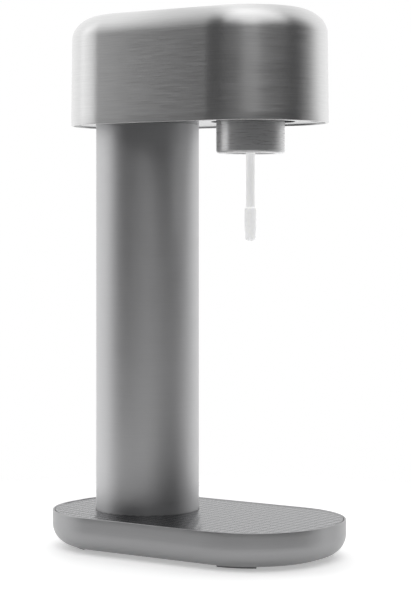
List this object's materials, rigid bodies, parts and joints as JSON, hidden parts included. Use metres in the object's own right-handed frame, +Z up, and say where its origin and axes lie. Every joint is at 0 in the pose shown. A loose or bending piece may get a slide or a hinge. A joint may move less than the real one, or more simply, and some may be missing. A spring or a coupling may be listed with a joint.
{
  "type": "soda carbonator",
  "caption": "Countertop soda carbonator: a round column on a flat foot carries a rounded head with a press button, a tilting bottle collar and a thin nozzle.",
  "frame": {"origin": "centre of the foot on the table, under the middle of its outline", "axes": "+Z up, +X from the column towards the nozzle, +Y to the left of someone who sits behind the machine and looks forwards"},
  "size_m": [0.237, 0.1416, 0.4113],
  "materials": {
    "base_silver": "satin, fine vertical grain",
    "column_silver": "satin anodised tube",
    "head_silver": "satin, brushed along its length",
    "underplate_silver": "bright satin",
    "collar_silver": "bright satin, turned",
    "button_silver": "satin, turned face",
    "deck_grey": "fine crosswise ribs, satin",
    "black_rubber": "matt",
    "grey_moulding": "moulded, matt",
    "white_moulding": "milky white, smooth",
    "label_silver": "blank foil plate",
    "cylinder_grey": "painted grey bottle",
    "valve_brass": "turned",
    "zinc_steel": "zinc plated",
    "spring_steel": "drawn wire",
    "hose_black": "extruded, matt"
  },
  "bodies": {
    "stand": {"base_shell": "base_silver", "foot_pads": "black_rubber", "base_core": "grey_moulding", "drip_deck": "deck_grey", "base_screws": "zinc_steel", "rating_plate": "label_silver", "column_tube": "column_silver", "column_liner": "grey_moulding", "column_screws": "zinc_steel", "column_gasket": "black_rubber", "head_shell": "head_silver", "shell_rim": "grey_moulding", "head_underplate": "underplate_silver", "head_chassis": "grey_moulding", "head_screws": "zinc_steel", "valve_bridge": "grey_moulding", "bridge_screws": "zinc_steel", "valve_block": "valve_brass", "block_screws": "zinc_steel", "socket_washer": "white_moulding", "push_rod_gland": "black_rubber", "inlet_fitting": "valve_brass", "pressure_hose": "hose_black", "lever_bracket": "zinc_steel", "lever_pin": "zinc_steel", "button_guide": "grey_moulding", "button_spring": "spring_steel", "tilt_brackets": "grey_moulding", "tilt_pins": "zinc_steel", "tilt_spring": "spring_steel", "pivot_fitting": "valve_brass"},
    "hatch": {"hatch_cover": "grey_moulding", "hatch_pad": "black_rubber"},
    "gas_bottle": {"gas_cylinder": "cylinder_grey", "cylinder_valve": "valve_brass", "burst_plug": "valve_brass", "valve_pin_spring": "spring_steel"},
    "pin": {"valve_pin": "zinc_steel"},
    "rod": {"push_rod": "zinc_steel"},
    "rocker": {"lever": "grey_moulding"},
    "button": {"button_cap": "button_silver", "button_stem": "white_moulding"},
    "bottle_holder": {"nozzle_collar": "collar_silver", "carbonator_body": "grey_moulding", "jaw_carrier": "white_moulding", "bottle_seal": "black_rubber", "nozzle_stem": "white_moulding", "nozzle_tip": "white_moulding", "stem_seal": "black_rubber", "collar_screws": "zinc_steel", "relief_valve": "valve_brass", "relief_spring": "spring_steel"},
    "poppet": {"relief_poppet": "zinc_steel"},
    "front_jaw": {"jaw_front": "white_moulding"},
    "left_jaw": {"jaw_left": "white_moulding"},
    "right_jaw": {"jaw_right": "white_moulding"}
  },
  "joints": [
    {"name": "button_press", "type": "slide", "parent": "stand", "child": "button", "axis": [0, 0, -1], "range_m": [0, 0.006], "stiffness_N_per_m": 1200, "springref_m": -0.004, "deforming": ["button_spring"]},
    {"name": "rocker_turn", "type": "hinge", "parent": "stand", "child": "rocker", "pos_m": [-0.082, 0, 0.3865], "axis": [0, 1, 0], "range_deg": [0, 2.9]},
    {"name": "rod_push", "type": "slide", "parent": "stand", "child": "rod", "axis": [0, 0, -1], "range_m": [0, 0.002]},
    {"name": "pin_push", "type": "slide", "parent": "gas_bottle", "child": "pin", "axis": [0, 0, -1], "range_m": [0, 0.0018], "deforming": ["valve_pin_spring"]},
    {"name": "cylinder_screw", "type": "hinge", "parent": "stand", "child": "gas_bottle", "pos_m": [-0.047, 0, 0.2], "axis": [0, 0, 1], "range_deg": [0, 720]},
    {"name": "hatch_twist", "type": "hinge", "parent": "stand", "child": "hatch", "pos_m": [-0.047, 0, 0.006], "axis": [0, 0, 1], "range_deg": [0, 40]},
    {"name": "holder_tilt", "type": "hinge", "parent": "stand", "child": "bottle_holder", "pos_m": [0.0491, 0, 0.352], "axis": [0, -1, 0], "range_deg": [0, 12], "stiffness_Nm_per_rad": 0.25, "springref_deg": -20.05, "deforming": ["tilt_spring"]},
    {"name": "jaw_front_open", "type": "slide", "parent": "bottle_holder", "child": "front_jaw", "axis": [1, 0, 0], "range_m": [0, 0.002]},
    {"name": "jaw_left_open", "type": "slide", "parent": "bottle_holder", "child": "left_jaw", "axis": [-0.5, 0.866, 0], "range_m": [0, 0.002]},
    {"name": "jaw_right_open", "type": "slide", "parent": "bottle_holder", "child": "right_jaw", "axis": [-0.5, -0.866, 0], "range_m": [0, 0.002]},
    {"name": "relief_lift", "type": "slide", "parent": "bottle_holder", "child": "poppet", "axis": [0, 0, 1], "range_m": [0, 0.0015], "stiffness_N_per_m": 800, "springref_m": -0.004, "deforming": ["relief_spring"]}
  ],
  "couplings": [
    {"joint": "rocker_turn", "follows": "button_press", "rad_per_m": 7.99},
    {"joint": "rod_push", "follows": "button_press", "ratio": 0.3},
    {"joint": "pin_push", "follows": "button_press", "ratio": 0.2667},
    {"joint": "jaw_front_open", "follows": "holder_tilt", "m_per_rad": 0.0095},
    {"joint": "jaw_left_open", "follows": "holder_tilt", "m_per_rad": 0.0095},
    {"joint": "jaw_right_open", "follows": "holder_tilt", "m_per_rad": 0.0095}
  ]
}
